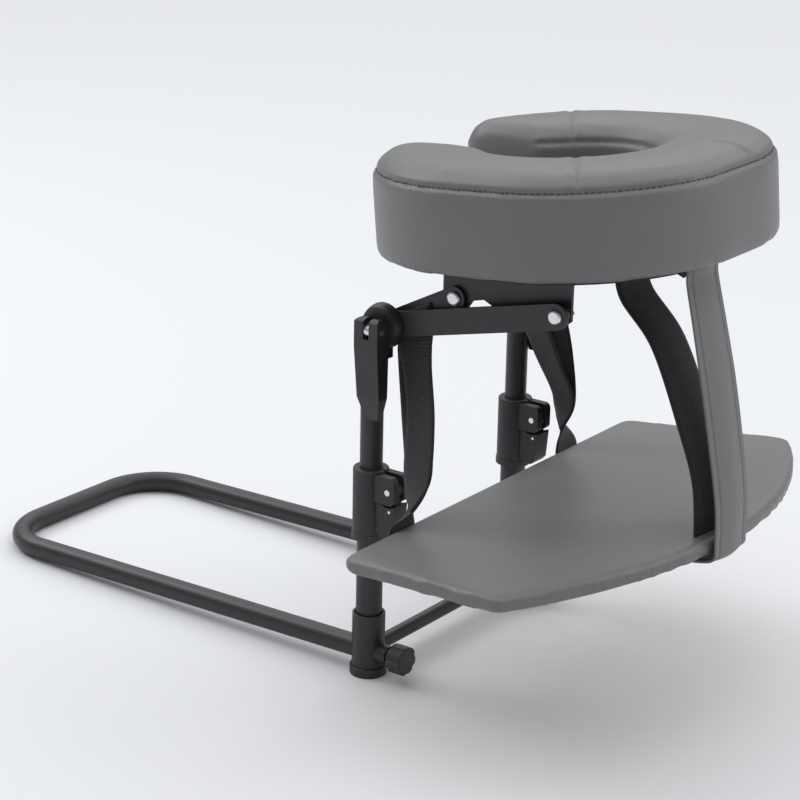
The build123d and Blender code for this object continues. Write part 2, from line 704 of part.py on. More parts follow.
def front_strap():
    """The vinyl strap from under the shelf, up its front and over the platform's band."""
    under = -SHELF_THICK - FRONT_STRAP_THICK / 2 - 0.1
    route = [
        on_shelf(256.0, under),
        on_shelf(SHELF_FRONT_X + 1.4, under),
        on_shelf(SHELF_FRONT_X + 1.6, -5.0),
        (PLATFORM_FRONT + 1.6, 366.0),
        on_seat(PLATFORM_FRONT + 1.4, OVER_BAND),
        on_seat(STRAP_SEAM_X, OVER_BAND),
    ]
    return strip(route, FRONT_STRAP_THICK, FRONT_STRAP_WIDTH, FRONT_STRAP_Y)


def hook_tail():
    """The hook-and-loop end of the front strap, back down through the hole."""
    reach = FRONT_STRAP_WIDTH / 2 - FRONT_STRAP_Y
    band_inner = PLATFORM_X + math.sqrt(PLATFORM_HOLE_R ** 2 - reach ** 2)
    route = [
        on_seat(STRAP_SEAM_X, OVER_BAND),
        on_seat(band_inner - 1.4, OVER_BAND),
        (band_inner + 1.0, 352.0),
        (204.0, 318.0),
        (232.0, 257.0),
        (264.0, 178.0),
    ]
    return strip(route, FRONT_STRAP_THICK, FRONT_STRAP_WIDTH, FRONT_STRAP_Y)


# ---- assembly -----------------------------------------------------------------------
def at_post(side, shape):
    return Pos(0, side * HALF, 0) * shape


def all_parts():
    parts = {
        "base_rail": base_rail(),
        "cross_bar": cross_bar(),
        "socket_nuts": group(*[at_post(s, socket_nut()) for s in (-1, 1)]),
    }
    upright = {
        "socket": (socket, 0.0),
        "foot_cap": (foot_cap, 0.0),
        "clamp_screw": (clamp_screw, 0.0),
        "clamp_knob": (clamp_knob, 0.0),
        "lower_post": (lower_post, RIGHT_RISE),
        "lock_collar": (lock_collar, RIGHT_RISE),
        "lock_pin": (lock_pin, RIGHT_RISE),
        "lock_lever": (lock_lever, RIGHT_RISE),
        "lever_rivet": (lever_rivet, RIGHT_RISE),
        "upper_post": (upper_post, 0.0),
    }
    for name, (make, rise) in upright.items():
        parts[name + "_left"] = at_post(-1, make())
        parts[name + "_right"] = Pos(0, 0, rise) * at_post(1, make())
    handed = {
        "post_head": post_head,
        "cam_lever": cam_lever,
        "cam_pin": cam_pin,
        "front_arm": front_arm,
        "rear_strut": rear_strut,
        "side_bracket": side_bracket,
    }
    for name, make in handed.items():
        parts[name + "_left"] = make()
        parts[name + "_right"] = right_of(make())
    nut_face = BRACKET_OUTER - BRACKET_THICK
    fasteners = {
        "cam_bolts": cam_bolt(),
        "cam_nuts": cam_nut(),
        "front_bolts": pivot_bolt(FRONT_X, FRONT_Z, ARM_OUTER, nut_face - 6),
        "front_nuts": lock_nut(FRONT_X, FRONT_Z, nut_face - GAP),
        "front_spacers": front_spacer(),
        "rear_bolts": pivot_bolt(REAR_X, REAR_Z, STRUT_OUTER + GAP, nut_face - 6),
        "rear_nuts": lock_nut(REAR_X, REAR_Z, nut_face),
    }
    for name, left in fasteners.items():
        parts[name] = group(left, right_of(left))
    screws = [bracket_screw(at) for at in SCREW_PLACES]
    parts["bracket_screws"] = group(*screws, *[right_of(s) for s in screws])
    parts["platform_plate"] = platform_plate()
    parts["hook_pads"] = group(*[hook_pad(a) for a in (-118, -68, 68, 118)])
    parts["face_cushion"] = face_cushion()
    parts["shelf_board"] = shelf_board()
    parts["shelf_pad"] = shelf_pad()
    feet = {"left": (-1, STRAP_FOOT_LEFT), "right": (1, STRAP_FOOT_RIGHT)}
    for name, (side, foot_y) in feet.items():
        parts["side_strap_" + name] = side_strap(side, foot_y)
        parts["strap_tab_" + name] = shelf_tab(foot_y)
    parts["front_strap"] = front_strap()
    parts["hook_tail"] = hook_tail()
    return parts


os.makedirs("parts", exist_ok=True)
whole = []
for name, shape in all_parts().items():
    placed = Pos(POST_X, 0, 0) * shape
    export_step(placed, "parts/" + name + ".step")
    whole.append(placed)
    print(name, len(placed.solids()), "solids", round(placed.volume), "mm3")

extent = Compound(children=whole).bounding_box()
print("box", extent.min, extent.max, "middle x", (extent.min.X + extent.max.X) / 2)
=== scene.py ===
# %% [markdown]
# A face cradle for a bed: a bent-tube base that slides under the mattress, two telescopic
# posts, arms that carry a horseshoe cushion, and a padded arm shelf hung on straps.
# The metal and plastic parts come from the CAD frame. This lesson adds the soft parts,
# which need seams, crowns and webbing, and gives every part its finish.

import json
import math

import bmesh
import bpy
from mathutils import Matrix, Vector
from mathutils.bvhtree import BVHTree


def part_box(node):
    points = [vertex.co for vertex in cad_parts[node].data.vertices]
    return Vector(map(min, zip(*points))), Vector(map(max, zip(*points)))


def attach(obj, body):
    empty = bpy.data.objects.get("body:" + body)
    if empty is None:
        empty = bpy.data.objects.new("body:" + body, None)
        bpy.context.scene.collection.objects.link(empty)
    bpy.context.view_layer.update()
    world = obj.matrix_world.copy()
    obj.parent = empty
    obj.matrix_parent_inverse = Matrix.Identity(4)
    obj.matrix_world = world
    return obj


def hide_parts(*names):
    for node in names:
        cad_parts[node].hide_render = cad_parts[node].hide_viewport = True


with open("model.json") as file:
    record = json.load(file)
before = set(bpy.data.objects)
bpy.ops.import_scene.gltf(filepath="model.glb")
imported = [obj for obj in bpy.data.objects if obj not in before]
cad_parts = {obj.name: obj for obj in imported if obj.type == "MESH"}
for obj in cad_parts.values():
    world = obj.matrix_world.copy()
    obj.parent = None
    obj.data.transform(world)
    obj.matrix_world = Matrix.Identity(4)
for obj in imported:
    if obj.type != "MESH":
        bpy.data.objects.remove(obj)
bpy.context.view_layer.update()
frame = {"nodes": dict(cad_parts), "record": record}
nodes = frame["nodes"]
scene = bpy.context.scene

# %% [markdown]
# The camera comes first, so that everything is judged from where it will be seen. A long
# lens from about two metres keeps the parallel tubes nearly parallel. The view is turned
# a little about its own axis, as a hand-held camera often is.

# %% Camera
CAMERA_AT = Vector((1.2055, -1.5942, 0.8926))
VIEW_BACK = Vector((0.5601, -0.7606, 0.3283)).normalized()
VIEW_ROLL = math.radians(1.145)

camera_data = bpy.data.cameras.new("camera")
camera_data.lens = 109.0
camera_data.clip_end = 50
camera = bpy.data.objects.new("camera", camera_data)
scene.collection.objects.link(camera)
side = Vector((0, 0, 1)).cross(VIEW_BACK).normalized()
rise = VIEW_BACK.cross(side)
right = side * math.cos(VIEW_ROLL) + rise * math.sin(VIEW_ROLL)
up = rise * math.cos(VIEW_ROLL) - side * math.sin(VIEW_ROLL)
camera.matrix_world = Matrix(
    (
        (right.x, up.x, VIEW_BACK.x, CAMERA_AT.x),
        (right.y, up.y, VIEW_BACK.y, CAMERA_AT.y),
        (right.z, up.z, VIEW_BACK.z, CAMERA_AT.z),
        (0, 0, 0, 1),
    )
)
scene.camera = camera
print("camera", tuple(round(x, 3) for x in CAMERA_AT))

# %% [markdown]
# A pale floor and big soft lights stand in for a studio. The world lights everything a
# little from all sides, and a broad light from above gives the soft shadow underneath.

# %% Floor and light
floor_mesh = bpy.data.meshes.new("floor")
bm = bmesh.new()
bmesh.ops.create_grid(bm, x_segments=1, y_segments=1, size=12)
bm.to_mesh(floor_mesh)
bm.free()
floor = bpy.data.objects.new("floor", floor_mesh)
scene.collection.objects.link(floor)
floor_paint = bpy.data.materials.new("floor_paint")
floor_paint.use_nodes = True
floor_shader = floor_paint.node_tree.nodes["Principled BSDF"]
floor_shader.inputs["Base Color"].default_value = (0.68, 0.69, 0.71, 1)
floor_shader.inputs["Roughness"].default_value = 0.9
floor_shader.inputs["Specular IOR Level"].default_value = 0.1
floor_mesh.materials.append(floor_paint)

world = bpy.data.worlds.new("studio")
scene.world = world
world.use_nodes = True
world.node_tree.nodes["Background"].inputs["Color"].default_value = (0.95, 0.97, 1.0, 1)
world.node_tree.nodes["Background"].inputs["Strength"].default_value = 0.34


def soft_light(name, place, size, power):
    data = bpy.data.lights.new(name, "AREA")
    data.shape = "DISK"
    data.size = size
    data.energy = power
    lamp = bpy.data.objects.new(name, data)
    lamp.location = place
    lamp.rotation_euler = (Vector((0, 0, 0.25)) - Vector(place)).to_track_quat("-Z", "Y").to_euler()
    scene.collection.objects.link(lamp)


soft_light("right_light", (2.4, 1.4, 1.5), 1.2, 14)
soft_light("left_light", (-2.0, -0.4, 1.7), 1.2, 14)
sky_data = bpy.data.lights.new("broad_top_light", "SUN")
sky_data.energy = 2.6
sky_data.angle = math.radians(110)
sky = bpy.data.objects.new("broad_top_light", sky_data)
sky.rotation_euler = (math.radians(-14), math.radians(-8), 0)
scene.collection.objects.link(sky)
scene.view_settings.view_transform = "Standard"

# %% [markdown]
# Each finish is a small network of textures. The same two effects come back in many of
# them: a fine surface grain, and slow patches of slightly lighter and darker colour. Both
# are built once as node groups and placed in each material with its own values.

# %% Shared node groups
def new_group(name, inputs, outputs):
    group = bpy.data.node_groups.new(name, "ShaderNodeTree")
    for label, kind, value in inputs:
        socket = group.interface.new_socket(label, in_out="INPUT", socket_type=kind)
        if value is not None:
            socket.default_value = value
    for label, kind in outputs:
        group.interface.new_socket(label, in_out="OUTPUT", socket_type=kind)
    entry = group.nodes.new("NodeGroupInput")
    leave = group.nodes.new("NodeGroupOutput")
    return group, entry, leave


FLOAT, COLOR, VECTOR = "NodeSocketFloat", "NodeSocketColor", "NodeSocketVector"

patches, entry, leave = new_group(
    "slow_patches",
    [("Vector", VECTOR, None), ("Scale", FLOAT, 20.0), ("Dark", COLOR, None), ("Light", COLOR, None)],
    [("Color", COLOR), ("Mask", FLOAT)],
)
noise = patches.nodes.new("ShaderNodeTexNoise")
noise.inputs["Detail"].default_value = 5
noise.inputs["Roughness"].default_value = 0.6
mix = patches.nodes.new("ShaderNodeMix")
mix.data_type = "RGBA"
patches.links.new(entry.outputs["Vector"], noise.inputs["Vector"])
patches.links.new(entry.outputs["Scale"], noise.inputs["Scale"])
patches.links.new(noise.outputs["Fac"], mix.inputs["Factor"])
patches.links.new(entry.outputs["Dark"], mix.inputs["A"])
patches.links.new(entry.outputs["Light"], mix.inputs["B"])
patches.links.new(mix.outputs["Result"], leave.inputs["Color"])
patches.links.new(noise.outputs["Fac"], leave.inputs["Mask"])

grain, entry, leave = new_group(
    "pebble_grain",
    [("Vector", VECTOR, None), ("Scale", FLOAT, 900.0), ("Fine", FLOAT, 2500.0)],
    [("Height", FLOAT)],
)
cells = grain.nodes.new("ShaderNodeTexVoronoi")
cells.feature = "SMOOTH_F1"
specks = grain.nodes.new("ShaderNodeTexNoise")
specks.inputs["Detail"].default_value = 3
add = grain.nodes.new("ShaderNodeMath")
add.operation = "MULTIPLY_ADD"
add.inputs[1].default_value = 0.6
grain.links.new(entry.outputs["Vector"], cells.inputs["Vector"])
grain.links.new(entry.outputs["Scale"], cells.inputs["Scale"])
grain.links.new(entry.outputs["Vector"], specks.inputs["Vector"])
grain.links.new(entry.outputs["Fine"], specks.inputs["Scale"])
grain.links.new(cells.outputs["Distance"], add.inputs[0])
grain.links.new(specks.outputs["Fac"], add.inputs[2])
grain.links.new(add.outputs["Value"], leave.inputs["Height"])
print("groups", [g.name for g in bpy.data.node_groups])


# %% [markdown]
# A finish is then one function: it places both groups, sends the patches to the colour
# and the grain to a bump, and sets the plain numbers on the shader itself. Patches also
# steer the roughness a little, so that highlights break up as they do on real surfaces.

# %% Making a finish
def make_finish(name, dark, light, rough, patch=25.0, pebble=900.0, bump=0.15, depth=0.0004, **plain):
    material = bpy.data.materials.new(name)
    material.use_nodes = True
    tree = material.node_tree
    shader = tree.nodes["Principled BSDF"]
    place = tree.nodes.new("ShaderNodeTexCoord")
    tint = tree.nodes.new("ShaderNodeGroup")
    tint.node_tree = patches
    tint.inputs["Scale"].default_value = patch
    tint.inputs["Dark"].default_value = (*dark, 1)
    tint.inputs["Light"].default_value = (*light, 1)
    tree.links.new(place.outputs["Object"], tint.inputs["Vector"])
    tree.links.new(tint.outputs["Color"], shader.inputs["Base Color"])
    spread = tree.nodes.new("ShaderNodeMapRange")
    spread.inputs["To Min"].default_value = rough - 0.06
    spread.inputs["To Max"].default_value = rough + 0.06
    tree.links.new(tint.outputs["Mask"], spread.inputs["Value"])
    tree.links.new(spread.outputs["Result"], shader.inputs["Roughness"])
    skin = tree.nodes.new("ShaderNodeGroup")
    skin.node_tree = grain
    skin.inputs["Scale"].default_value = pebble
    skin.inputs["Fine"].default_value = pebble * 2.7
    tree.links.new(place.outputs["Object"], skin.inputs["Vector"])
    relief = tree.nodes.new("ShaderNodeBump")
    relief.inputs["Strength"].default_value = bump
    relief.inputs["Distance"].default_value = depth
    tree.links.new(skin.outputs["Height"], relief.inputs["Height"])
    tree.links.new(relief.outputs["Normal"], shader.inputs["Normal"])
    for socket, value in plain.items():
        shader.inputs[socket.replace("_", " ")].default_value = value
    return material


powder_coat = make_finish(
    "powder_coat", (0.014, 0.014, 0.016), (0.024, 0.024, 0.027), 0.40,
    patch=60, pebble=1400, bump=0.25, depth=0.0002,
)
moulded = make_finish(
    "moulded_plastic", (0.017, 0.017, 0.019), (0.027, 0.027, 0.030), 0.52,
    patch=80, pebble=2200, bump=0.3, depth=0.0002,
)
zinc = make_finish(
    "bright_zinc", (0.62, 0.62, 0.63), (0.86, 0.86, 0.86), 0.28,
    patch=300, pebble=3000, bump=0.08, depth=0.0001, Metallic=1.0,
)
vinyl = make_finish(
    "grey_vinyl", (0.126, 0.128, 0.127), (0.156, 0.158, 0.155), 0.44,
    patch=9, pebble=1100, bump=0.22, depth=0.0003,
)
thread = make_finish(
    "grey_thread", (0.045, 0.045, 0.045), (0.075, 0.075, 0.075), 0.8,
    patch=900, pebble=5000, bump=0.3, depth=0.0002,
)
plywood = make_finish(
    "raw_plywood", (0.32, 0.22, 0.13), (0.46, 0.34, 0.21), 0.75,
    patch=45, pebble=600, bump=0.2, depth=0.0003,
)
dark_board = make_finish(
    "black_board", (0.014, 0.014, 0.014), (0.026, 0.026, 0.026), 0.7,
    patch=60, pebble=700, bump=0.3, depth=0.0003,
)
hook_tape = make_finish(
    "hook_tape", (0.006, 0.006, 0.007), (0.014, 0.014, 0.016), 0.92,
    patch=120, pebble=1500, bump=0.9, depth=0.0006,
)
print("finishes", len(bpy.data.materials))

# %% [markdown]
# Webbing needs its own network: heavy ribs cross it every couple of millimetres, with the
# warp threads just visible between them. The pattern follows the strap, so it reads the
# strap's own UV map, in metres, and not the space around it.

# %% Webbing finish
def make_webbing(name, dark, light, pitch):
    material = bpy.data.materials.new(name)
    material.use_nodes = True
    tree = material.node_tree
    shader = tree.nodes["Principled BSDF"]
    shader.inputs["Roughness"].default_value = 0.85
    shader.inputs["Sheen Weight"].default_value = 0.15
    place = tree.nodes.new("ShaderNodeUVMap")
    place.uv_map = "strap_metres"
    ribs = tree.nodes.new("ShaderNodeTexWave")
    ribs.bands_direction = "Y"
    ribs.inputs["Scale"].default_value = 0.314 / pitch
    ribs.inputs["Distortion"].default_value = 0.6
    ribs.inputs["Detail Scale"].default_value = 3
    warp = tree.nodes.new("ShaderNodeTexWave")
    warp.bands_direction = "X"
    warp.inputs["Scale"].default_value = 0.314 / pitch * 1.6
    warp.inputs["Distortion"].default_value = 0.4
    both = tree.nodes.new("ShaderNodeMath")
    both.operation = "MULTIPLY_ADD"
    both.inputs[1].default_value = 0.35
    ramp = tree.nodes.new("ShaderNodeMix")
    ramp.data_type = "RGBA"
    ramp.inputs["A"].default_value = (*dark, 1)
    ramp.inputs["B"].default_value = (*light, 1)
    relief = tree.nodes.new("ShaderNodeBump")
    relief.inputs["Strength"].default_value = 0.7
    relief.inputs["Distance"].default_value = 0.0006
    tree.links.new(place.outputs["UV"], ribs.inputs["Vector"])
    tree.links.new(place.outputs["UV"], warp.inputs["Vector"])
    tree.links.new(warp.outputs["Fac"], both.inputs[0])
    tree.links.new(ribs.outputs["Fac"], both.inputs[2])
    tree.links.new(both.outputs["Value"], ramp.inputs["Factor"])
    tree.links.new(ramp.outputs["Result"], shader.inputs["Base Color"])
    tree.links.new(both.outputs["Value"], relief.inputs["Height"])
    tree.links.new(relief.outputs["Normal"], shader.inputs["Normal"])
    return material


webbing = make_webbing("ribbed_webbing", (0.004, 0.004, 0.005), (0.022, 0.022, 0.025), 0.0022)

# %% [markdown]
# The CAD parts already have the right shapes, so each one only gets its finish. The
# record says which slot a part belongs to, and a table turns slots into finishes.

# %% Finishes for the CAD parts
FINISH = {
    "frame": powder_coat,
    "plastic": moulded,
    "zinc": zinc,
    "board": plywood,
    "dark_board": dark_board,
    "vinyl": vinyl,
    "webbing": hook_tape,
    "hook_tape": hook_tape,
}
for part in frame["record"]["subparts"]:
    mesh = nodes[part["node"]].data
    mesh.materials.clear()
    mesh.materials.append(FINISH[part["material_slot"]])

# %% [markdown]
# The cushion is foam under a sewn vinyl cover: a top panel, a boxing strip round the side
# and a seam where they meet. Its solid is copied, remeshed into even squares and swelled
# by a short cloth simulation, held at the seam and the base, so that the panels puff
# between them. Measures along the cushion are taken in its own tilted frame.

# %% The cushion's own frame
TILT = math.radians(5.7)
ALONG = Vector((math.cos(TILT), 0, math.sin(TILT)))
ACROSS = Vector((0, 1, 0))
AWAY = Vector((-math.sin(TILT), 0, math.cos(TILT)))
solid = nodes["face_cushion"].data
u_all = [v.co.dot(ALONG) for v in solid.vertices]
h_all = [v.co.dot(AWAY) for v in solid.vertices]
CUSHION_U = max(u_all) - 0.153
CUSHION_H = min(h_all)
TOP_H = max(h_all) - CUSHION_H


def on_cushion(u, v, h):
    return ALONG * (u + CUSHION_U) + ACROSS * v + AWAY * (h + CUSHION_H)


def cushion_place(point):
    return point.dot(ALONG) - CUSHION_U, point.y, point.dot(AWAY) - CUSHION_H


print("cushion height", round(TOP_H, 4))

# %% The cushion's outline
HOLE_U, HOLE_V = 0.064, 0.059
OUTER_U, OUTER_V, OUTER_ROUND = 0.153, 0.151, 0.130
SEAM_H = 0.0685


def outer_radius(angle):
    """Where a ray from the middle of the hole leaves the rounded square outline."""
    near, far = 0.08, 0.23
    for _ in range(24):
        middle = (near + far) / 2
        x = max(0.0, abs(middle * math.cos(angle)) - (OUTER_U - OUTER_ROUND))
        y = max(0.0, abs(middle * math.sin(angle)) - (OUTER_V - OUTER_ROUND))
        if math.hypot(x, y) < OUTER_ROUND:
            near = middle
        else:
            far = middle
    return near


def hole_radius(angle):
    return 1 / math.hypot(math.cos(angle) / HOLE_U, math.sin(angle) / HOLE_V)


def ring_share(u, v):
    """0 at the hole, 1 at the outer side."""
    angle = math.atan2(v, u)
    inner = hole_radius(angle)
    return (math.hypot(u, v) - inner) / (outer_radius(angle) - inner)


# %% Copy and remesh
def solid_copy(node, name, voxel):
    mesh = nodes[node].data.copy()
    mesh.name = name
    bm = bmesh.new()
    bm.from_mesh(mesh)
    bmesh.ops.remove_doubles(bm, verts=bm.verts, dist=1e-5)
    bm.to_mesh(mesh)
    bm.free()
    piece = bpy.data.objects.new(name, mesh)
    scene.collection.objects.link(piece)
    remesh = piece.modifiers.new("even_squares", "REMESH")
    remesh.mode = "VOXEL"
    remesh.voxel_size = voxel
    return apply_modifiers(piece)


def apply_modifiers(piece):
    bpy.context.view_layer.update()
    shaped = piece.evaluated_get(bpy.context.evaluated_depsgraph_get())
    mesh = bpy.data.meshes.new_from_object(shaped)
    piece.modifiers.clear()
    piece.data = mesh
    return piece


def smooth_shading(piece):
    for face in piece.data.polygons:
        face.use_smooth = True


cushion = solid_copy("face_cushion", "cushion_cover", 0.005)
print("cushion squares", len(cushion.data.polygons))

# %% [markdown]
# Before it swells, the cover is given the shape of its foam: the top panel rises towards the middle of
# the ring.

# %% Shape the foam
for vertex in cushion.data.vertices:
    u, v, h = cushion_place(vertex.co)
    share = min(1.0, max(0.0, ring_share(u, v)))
    crown = 0.0035 * math.sin(math.pi * share) * min(1.0, max(0.0, (h - 0.055) / 0.02))
    vertex.co += AWAY * crown

# %% Swell the cover
def swell(piece, pinned, pressure, cap, frames=20):
    before = [v.co.copy() for v in piece.data.vertices]
    held = piece.vertex_groups.new(name="held")
    held.add([v.index for v in piece.data.vertices if pinned(v.co)], 1.0, "REPLACE")
    cloth = piece.modifiers.new("swell", "CLOTH")
    cloth.settings.use_pressure = True
    cloth.settings.uniform_pressure_force = pressure
    cloth.settings.quality = 4
    cloth.settings.mass = 0.4
    cloth.settings.tension_stiffness = 40
    cloth.settings.compression_stiffness = 40
    cloth.settings.bending_stiffness = 3
    cloth.settings.vertex_group_mass = "held"
    cloth.settings.effector_weights.gravity = 0
    cloth.collision_settings.use_collision = False
    cloth.point_cache.frame_start = 1
    cloth.point_cache.frame_end = frames
    for number in range(1, frames + 1):
        scene.frame_set(number)
    piece = apply_modifiers(piece)
    scene.frame_set(1)
    for vertex, old in zip(piece.data.vertices, before):
        step = vertex.co - old
        if step.length > cap:
            vertex.co = old + step.normalized() * cap
    piece.vertex_groups.clear()
    return piece


def cushion_pinned(point):
    u, v, h = cushion_place(point)
    share = ring_share(u, v)
    return h < 0.006 or (abs(h - SEAM_H) < 0.003 and not 0.2 < share < 0.8)


cushion = swell(cushion, cushion_pinned, 4.0, 0.005)
print("cushion swelled")

# %% [markdown]
# One subdivision makes the squares fine enough for the seams. Each seam is a shallow
# valley with a slight roll on both sides of it, made by moving the points near it.

# %% Sink the seams
def refine(piece, levels=1):
    finer = piece.modifiers.new("finer", "SUBSURF")
    finer.levels = levels
    finer.render_levels = levels
    return apply_modifiers(piece)


cushion = refine(cushion)
SEAM_ANGLES = (math.radians(-56), math.radians(8), math.radians(124))


def seam_profile(distance):
    """Depth of the valley, and the roll beside it, at a distance from the stitching."""
    return -0.0016 * math.exp(-((distance / 0.0018) ** 2)) + 0.0005 * math.exp(
        -(((distance - 0.0055) / 0.003) ** 2)
    )


for vertex in cushion.data.vertices:
    u, v, h = cushion_place(vertex.co)
    share = ring_share(u, v)
    move = 0.0
    if not 0.12 < share < 0.88 and h > 0.05:
        move += seam_profile(abs(h - SEAM_H) * 1.25)
    if h > SEAM_H and 0.0 < share:
        angle, reach = math.atan2(v, u), math.hypot(u, v)
        for seam in SEAM_ANGLES:
            across = abs((angle - seam + math.pi) % (2 * math.pi) - math.pi) * reach
            move += seam_profile(across) * min(1.0, (h - SEAM_H) / 0.006)
    vertex.co += vertex.normal * move
smooth_shading(cushion)
cushion.data.materials.clear()
cushion.data.materials.append(vinyl)
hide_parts("face_cushion")
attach(cushion, "platform")
print("cushion triangles", sum(len(f.vertices) - 2 for f in cushion.data.polygons))

# %% [markdown]
# Top-stitching runs along the seam. Every stitch is a short bar, laid on the cover where a ray from
# outside meets it, so it follows the swelled surface.

# %% Top-stitching
def add_stitch(bm, at, direction, normal, length=0.0032, width=0.0008):
    made = bmesh.ops.create_cube(bm, size=1.0)["verts"]
    beside = direction.cross(normal).normalized()
    frame_of = Matrix((direction.normalized(), beside, normal.normalized())).transposed()
    bmesh.ops.scale(bm, vec=(length, width, width * 0.8), verts=made)
    bmesh.ops.rotate(bm, cent=(0, 0, 0), matrix=frame_of, verts=made)
    bmesh.ops.translate(bm, vec=at, verts=made)


def lay_stitches(name, cover, rays, body):
    """A stitch wherever a ray, from a start along a direction, meets the cover."""
    tree = BVHTree.FromObject(cover, bpy.context.evaluated_depsgraph_get())
    hits = []
    for start, towards in rays:
        at, normal, _, _ = tree.ray_cast(start, towards, 0.2)
        if at is not None:
            hits.append((at, normal))
    bm = bmesh.new()
    for (here, normal), (after, _) in zip(hits, hits[1:]):
        if (after - here).length < 0.02:
            add_stitch(bm, here + normal * 0.0002, after - here, normal)
    mesh = bpy.data.meshes.new(name)
    bm.to_mesh(mesh)
    bm.free()
    piece = bpy.data.objects.new(name, mesh)
    scene.collection.objects.link(piece)
    mesh.materials.append(thread)
    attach(piece, body)
    return piece


bpy.context.view_layer.update()
rays = []
for count in range(-86, 87):
    angle = math.radians(count * 1.86)
    edge = outer_radius(angle)
    aim = on_cushion((edge - 0.02) * math.cos(angle), (edge - 0.02) * math.sin(angle), SEAM_H - 0.014)
    start = on_cushion((edge + 0.03) * math.cos(angle), (edge + 0.03) * math.sin(angle), SEAM_H + 0.030)
    rays.append((start, (aim - start).normalized()))
seam_thread = lay_stitches("cushion_stitches", cushion, rays, "platform")
print("stitches", len(seam_thread.data.polygons) // 6)

# %% [markdown]
# The arm shelf is a board wrapped in a thin pad of the same vinyl. Its solid is copied
# and remeshed too, then its top is raised a little towards the middle so that light runs
# across it, and the wrap is pinched where it turns under at the edge.

# %% Arm shelf pad
SHELF_TILT = math.radians(4.9)
SHELF_AWAY = Vector((-math.sin(SHELF_TILT), 0, math.cos(SHELF_TILT)))
shelf = solid_copy("shelf_pad", "shelf_cover", 0.004)
shelf_top = max(v.co.dot(SHELF_AWAY) for v in shelf.data.vertices)
shelf_low, shelf_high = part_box("shelf_pad")
for vertex in shelf.data.vertices:
    below = shelf_top - vertex.co.dot(SHELF_AWAY)
    if below < 0.004:
        run = (vertex.co.x - shelf_low.x) / (shelf_high.x - shelf_low.x)
        reach = abs(vertex.co.y) / shelf_high.y
        crown = math.sin(math.pi * min(1, max(0, run))) * max(0.0, 1 - reach ** 4)
        vertex.co += SHELF_AWAY * 0.0022 * crown
    if abs(below - 0.009) < 0.002 and (vertex.co.x > shelf_low.x + 0.004):
        vertex.co -= vertex.normal * 0.0007
shelf = refine(shelf)
smooth_shading(shelf)
shelf.data.materials.clear()
shelf.data.materials.append(vinyl)
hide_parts("shelf_pad")
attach(shelf, "shelf")
print("shelf cover triangles", sum(len(f.vertices) - 2 for f in shelf.data.polygons))

# %% [markdown]
# Straps are flat bands that bend and twist along a route. A grid is made the right number
# of squares wide and long, and every point is moved to its place on the route: a centre,
# a direction across the band and a distance along it. Solidify then gives the thickness.

# %% Making a strap from a route
def smooth_route(stations, share):
    """The place, turn and width at a share of the way along a list of stations."""
    last = len(stations) - 1
    index = min(int(share * last), last - 1)
    t = share * last - index
    knots = [stations[max(0, min(last, index + k))] for k in (-1, 0, 1, 2)]

    def through(a, b, c, d):
        return b + 0.5 * t * (c - a + t * (2 * a - 5 * b + 4 * c - d + t * (3 * (b - c) + d - a)))

    return [through(*values) for values in zip(*knots)]


def band(name, stations, width, thick, finish, body, bulge=0.0, squares=(16, 160)):
    """stations hold x, y, z, the band's turn about the vertical and its slope, in degrees."""
    bm = bmesh.new()
    bmesh.ops.create_grid(bm, x_segments=squares[0], y_segments=squares[1], size=0.5)
    uv = bm.loops.layers.uv.new("strap_metres")
    places = {}
    length, before = 0.0, None
    lengths = []
    for row in range(squares[1] + 1):
        point = Vector(smooth_route(stations, row / squares[1])[:3])
        length += 0 if before is None else (point - before).length
        lengths.append(length)
        before = point
    for vertex in bm.verts:
        run = min(1.0, max(0.0, vertex.co.y + 0.5))
        x, y, z, turn, slope = smooth_route(stations, run)
        turn, slope = math.radians(turn), math.radians(slope)
        ahead = Vector(smooth_route(stations, min(1.0, run + 0.004))[:3])
        behind = Vector(smooth_route(stations, max(0.0, run - 0.004))[:3])
        along = (ahead - behind).normalized()
        flat = Vector((math.cos(turn), math.sin(turn), math.tan(slope))).normalized()
        normal = flat.cross(along).normalized()
        off = vertex.co.x
        lift = bulge * (1 - (2 * off) ** 2) ** 2
        if bulge:
            lift -= 0.0009 * math.exp(-(((abs(off) - 0.37) / 0.020) ** 2))
        places[vertex] = (off * width, lengths[round(run * squares[1])])
        vertex.co = Vector((x, y, z)) + flat * off * width + normal * lift
    for face in bm.faces:
        for loop in face.loops:
            loop[uv].uv = places[loop.vert]
        face.smooth = True
    bmesh.ops.recalc_face_normals(bm, faces=bm.faces)
    mesh = bpy.data.meshes.new(name)
    bm.to_mesh(mesh)
    bm.free()
    piece = bpy.data.objects.new(name, mesh)
    scene.collection.objects.link(piece)
    mesh.materials.append(finish)
    body_of_cloth = piece.modifiers.new("thickness", "SOLIDIFY")
    body_of_cloth.thickness = thick
    body_of_cloth.offset = 0
    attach(piece, body)
    print(name, "length", round(length, 3))
    return piece


# %% [markdown]
# Each side strap is one loop of webbing over the rear strut. Its two layers hang apart at
# the top, come together on the way down, and a short tail goes under the shelf. The left
# and right loops hang a little differently, as soft straps do.

# %% Side straps
strut_low, strut_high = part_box("rear_strut_left")
POST_X = (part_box("upper_post_left")[0].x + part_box("upper_post_left")[1].x) / 2
SHELF_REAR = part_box("shelf_pad")[0]
STRUT_Y = -(strut_low.y + strut_high.y) / 2


